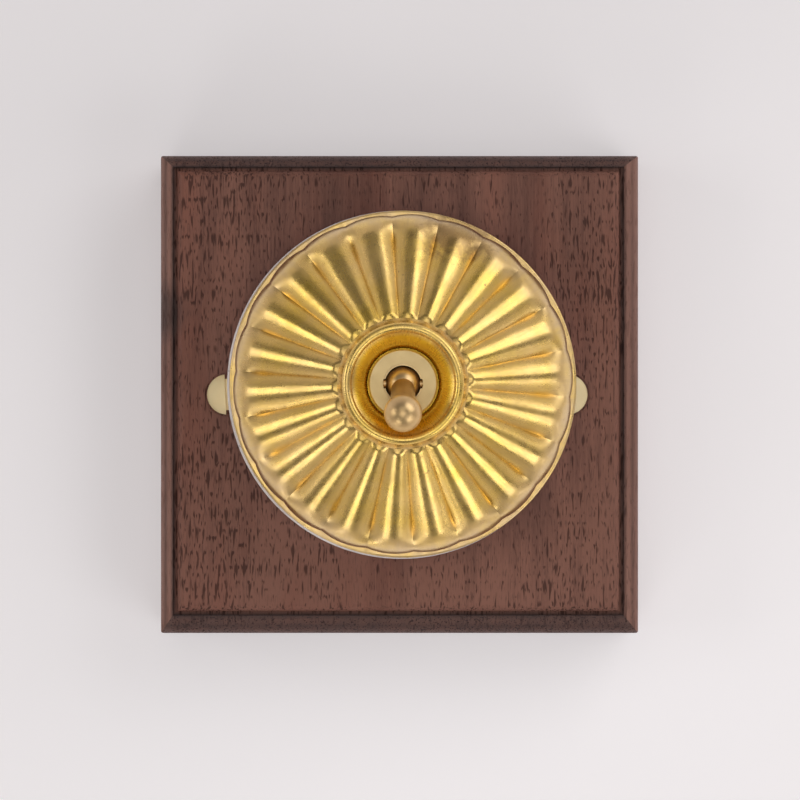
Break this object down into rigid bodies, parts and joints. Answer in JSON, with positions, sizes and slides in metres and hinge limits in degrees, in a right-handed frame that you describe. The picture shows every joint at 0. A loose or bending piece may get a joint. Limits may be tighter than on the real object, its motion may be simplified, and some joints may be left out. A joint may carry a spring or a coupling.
{
  "type": "toggle light switch",
  "caption": "Toggle wall switch with a domed fluted brass cover, ring nut and pear-shaped lever, on a round porcelain base and a square moulded wooden block.",
  "frame": {"origin": "centre of the wooden block's back face, which goes against the wall", "axes": "+Z out of the wall, +Y up on the wall, +X to the right seen from the front"},
  "size_m": [0.085, 0.085, 0.0568],
  "materials": {
    "wood": "dark hardwood, oiled",
    "porcelain": "glazed white porcelain",
    "polished_brass": "polished and lacquered",
    "satin_brass": "satin",
    "pale_brass": "turned",
    "spring_steel": "drawn",
    "fibre": "pressed fibre",
    "ebonite": "turned"
  },
  "bodies": {
    "switch_body": {"pattress_block": "wood", "block_screws": "pale_brass", "porcelain_base": "porcelain", "base_screws": "pale_brass", "terminal_upper": "satin_brass", "terminal_lower": "satin_brass", "terminal_common": "satin_brass", "terminal_screws": "pale_brass", "terminal_rivets": "satin_brass", "contact_clip_upper": "satin_brass", "contact_clip_lower": "satin_brass", "mechanism_frame": "satin_brass", "frame_screws": "pale_brass", "neck_bush": "satin_brass", "rocker_pin": "spring_steel", "fluted_cover": "polished_brass", "cover_liner": "fibre", "cover_washer": "fibre", "ring_nut": "satin_brass"},
    "dolly": {"dolly_lever": "satin_brass", "dolly_pin": "spring_steel", "dolly_tail": "ebonite", "toggle_plunger": "spring_steel", "toggle_spring": "spring_steel"},
    "rocker_group": {"rocker": "satin_brass", "moving_blade": "satin_brass", "blade_rivets": "satin_brass"}
  },
  "joints": [
    {"name": "dolly_tilt", "type": "hinge", "parent": "switch_body", "child": "dolly", "pos_m": [0.0006, 0.0018, 0.0425], "axis": [-1, 0, 0], "range_deg": [0, 48]},
    {"name": "rocker_tilt", "type": "hinge", "parent": "switch_body", "child": "rocker_group", "pos_m": [0.0006, 0.0018, 0.03], "axis": [1, 0, 0], "range_deg": [0, 36]}
  ],
  "couplings": [
    {"joint": "rocker_tilt", "follows": "dolly_tilt", "ratio": 0.75}
  ]
}
